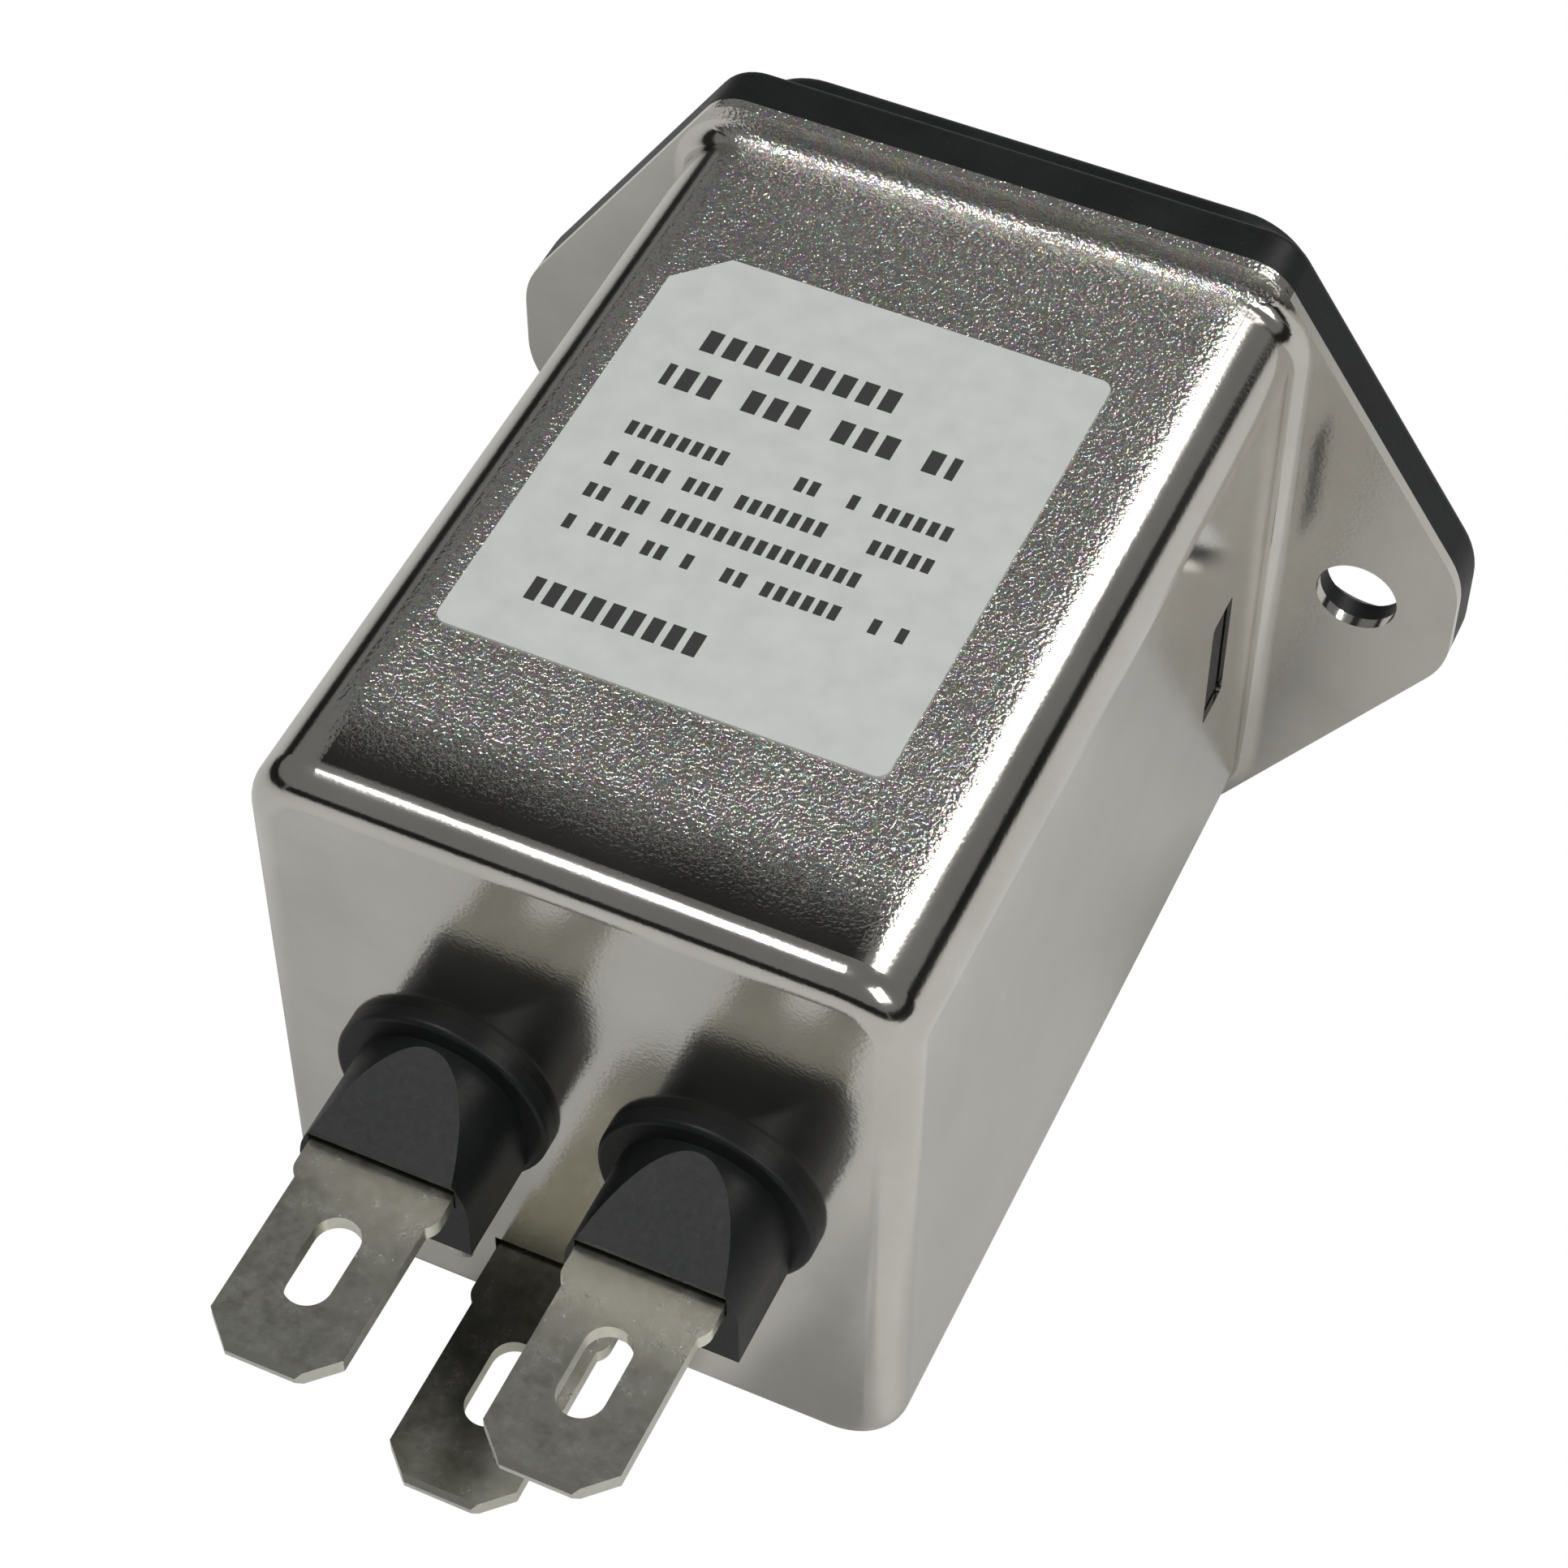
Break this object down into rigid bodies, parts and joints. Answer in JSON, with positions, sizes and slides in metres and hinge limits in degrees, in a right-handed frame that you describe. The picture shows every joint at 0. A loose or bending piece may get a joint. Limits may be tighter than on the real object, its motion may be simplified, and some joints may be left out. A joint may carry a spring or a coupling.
{
  "type": "filtered power inlet",
  "caption": "Panel-mount mains inlet with a socket in a metal can, a screw flange and tab terminals at the rear.",
  "frame": {"origin": "midway between the two mounting holes, on the flange face that seats against the panel", "axes": "+Y from the socket towards the terminals, +Z towards the labelled side, +X across"},
  "size_m": [0.0498, 0.066, 0.0376],
  "materials": {
    "nickel_plate": "bright nickel plate with a fine grain",
    "black_moulding": "fine moulded texture",
    "tinned_brass": "tin plate over brass",
    "sticker": "satin film",
    "liner_film": "thin insulating film",
    "board_laminate": "laminate",
    "ferrite": "coated ferrite",
    "copper_winding": "enamelled copper wire",
    "film_capacitor": "moulded box",
    "disc_capacitor": "dipped coating",
    "resistor_coat": "lacquer",
    "tinned_wire": "tinned copper wire"
  },
  "bodies": {
    "root": {"case": "nickel_plate", "inlet_housing": "black_moulding", "line_tab": "tinned_brass", "neutral_tab": "tinned_brass", "earth_tab": "tinned_brass", "line_bushing": "black_moulding", "neutral_bushing": "black_moulding", "rating_label": "sticker", "insulating_liner": "liner_film", "carrier_board": "board_laminate", "choke_core": "ferrite", "line_winding": "copper_winding", "neutral_winding": "copper_winding", "front_x_capacitor": "film_capacitor", "rear_x_capacitor": "film_capacitor", "line_y_capacitor": "disc_capacitor", "neutral_y_capacitor": "disc_capacitor", "bleed_resistor": "resistor_coat", "line_pin_lead": "tinned_wire", "neutral_pin_lead": "tinned_wire", "line_tab_lead": "tinned_wire", "neutral_tab_lead": "tinned_wire", "earth_strap": "tinned_brass", "line_pin": "tinned_brass", "neutral_pin": "tinned_brass", "earth_pin": "tinned_brass"}
  },
  "joints": []
}
